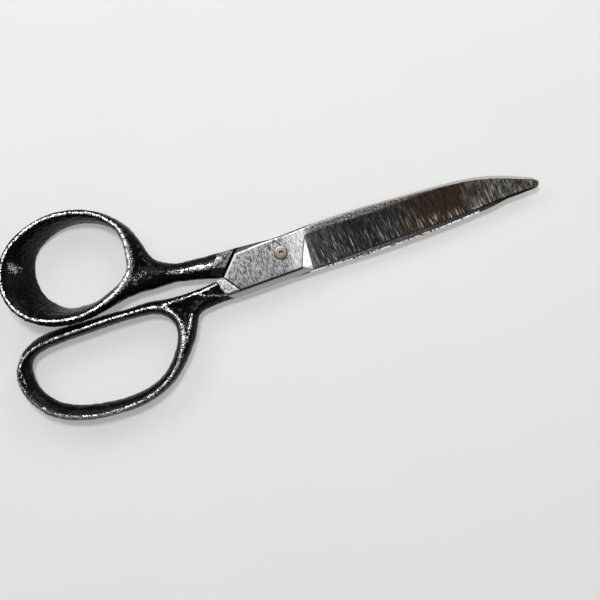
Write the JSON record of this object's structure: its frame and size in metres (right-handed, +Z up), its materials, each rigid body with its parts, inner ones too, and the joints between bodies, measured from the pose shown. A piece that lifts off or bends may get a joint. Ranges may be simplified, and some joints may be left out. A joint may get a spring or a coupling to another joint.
{
  "type": "fabric shears",
  "caption": "Fabric shears with steel blades, a rivet pivot, a round thumb bow and a long finger bow on black cast handles; they open and close about the pivot.",
  "frame": {"origin": "on the pivot axis, at the flat tail of the rivet, which is on the surface that the shears lie on", "axes": "+X along the closed blades towards the tip, +Y across them towards the thumb bow, +Z up along the pivot axis and out of the rivet head"},
  "size_m": [0.2049, 0.0772, 0.0137],
  "materials": {
    "finger_blade": "ground",
    "finger_handle": "gloss black enamel",
    "thumb_blade": "ground",
    "thumb_handle": "gloss black enamel",
    "pivot_rivet": "nickel plated, worn",
    "rivet_burr": "satin"
  },
  "bodies": {
    "finger_half": {"finger_blade": "finger_blade", "finger_handle": "finger_handle", "pivot_rivet": "pivot_rivet", "rivet_burr": "rivet_burr"},
    "thumb_half": {"thumb_blade": "thumb_blade", "thumb_handle": "thumb_handle"}
  },
  "joints": [
    {"name": "blade_pivot", "type": "hinge", "parent": "finger_half", "child": "thumb_half", "pos_m": [0, 0, 0.0046], "axis": [0, 0, -1], "range_deg": [0, 115]}
  ]
}
